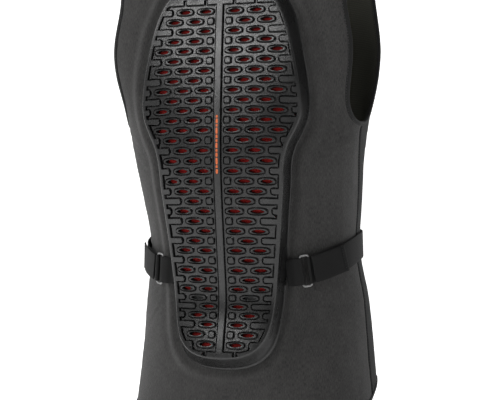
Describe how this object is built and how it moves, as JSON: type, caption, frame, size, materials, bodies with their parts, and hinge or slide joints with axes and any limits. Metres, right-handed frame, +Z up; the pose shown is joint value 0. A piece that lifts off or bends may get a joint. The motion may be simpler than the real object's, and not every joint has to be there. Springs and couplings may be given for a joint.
{
  "type": "protector vest",
  "caption": "Sleeveless zipped protector vest with a moulded, ventilated back plate and a waist belt adjusted at both sides.",
  "frame": {"origin": "midway between the two shoulder points at the neck, where the wearer carries the vest; all of it hangs below", "axes": "+Z up, +Y the way the wearer faces (the zip's side), +X the wearer's right; the plate faces -Y"},
  "size_m": [0.3712, 0.2592, 0.7133],
  "materials": {
    "melange": "matt knit, mottled grey",
    "stretch": "matt open stretch knit",
    "lining": "matt mesh lining",
    "binding": "elastic tape",
    "plate": "satin moulded foam rubber",
    "foam": "matt foam",
    "redMesh": "matt mesh",
    "orange": "matt print",
    "webbing": "woven elastic",
    "hook": "hook tape",
    "wire": "black coated wire",
    "teeth": "moulded",
    "slider": "black coated"
  },
  "bodies": {
    "vest": {"back_panel": "melange", "front_panel_right": "melange", "front_panel_left": "melange", "side_panel_right": "stretch", "side_panel_left": "stretch", "back_lining": "lining", "front_lining_right": "lining", "front_lining_left": "lining", "armhole_binding_right": "binding", "armhole_binding_left": "binding", "neck_binding": "binding", "hem_binding": "binding", "plate_shell": "plate", "plate_core": "foam", "vent_mesh": "redMesh", "spine_marks": "orange", "plate_welt": "melange", "zip_tape_right": "binding", "zip_teeth_right": "teeth", "zip_stop_right": "slider", "zip_tape_left": "binding", "zip_teeth_left": "teeth", "zip_stop_left": "slider", "zip_pin": "teeth", "zip_box": "teeth", "belt_loop_right": "webbing", "belt_loop_left": "webbing", "belt_strap_right": "webbing", "belt_strap_left": "webbing", "belt_anchor_right": "binding", "belt_anchor_left": "binding", "hanger_loop": "binding"},
    "zip_slider": {"zip_slider": "slider"},
    "zip_pull": {"zip_pull": "slider"},
    "belt_ring_right": {"belt_ring_right": "wire"},
    "belt_ring_left": {"belt_ring_left": "wire"},
    "belt_tab_right": {"belt_tab_right": "webbing", "belt_hook_right": "hook"},
    "belt_tab_left": {"belt_tab_left": "webbing", "belt_hook_left": "hook"}
  },
  "joints": [
    {"name": "zip_slide", "type": "slide", "parent": "vest", "child": "zip_slider", "axis": [0, 0.0437, -0.999], "range_m": [0, 0.48]},
    {"name": "zip_pull_hinge", "type": "hinge", "parent": "zip_slider", "child": "zip_pull", "pos_m": [0, 0.10124, -0.12832], "axis": [1, 0, 0], "range_deg": [0, 170]},
    {"name": "belt_ring_right_hinge", "type": "hinge", "parent": "vest", "child": "belt_ring_right", "pos_m": [0.10432, -0.08818, -0.47931], "axis": [0.1044, 0.1174, -0.9876], "range_deg": [0, 25]},
    {"name": "belt_tab_right_hinge", "type": "hinge", "parent": "belt_ring_right", "child": "belt_tab_right", "pos_m": [0.11437, -0.08265, -0.47759], "axis": [0.1044, 0.1174, -0.9876], "range_deg": [0, 110]},
    {"name": "belt_ring_left_hinge", "type": "hinge", "parent": "vest", "child": "belt_ring_left", "pos_m": [-0.10432, -0.08818, -0.47931], "axis": [0.1044, -0.1174, 0.9876], "range_deg": [0, 25]},
    {"name": "belt_tab_left_hinge", "type": "hinge", "parent": "belt_ring_left", "child": "belt_tab_left", "pos_m": [-0.11437, -0.08265, -0.47759], "axis": [0.1044, -0.1174, 0.9876], "range_deg": [0, 110]}
  ]
}
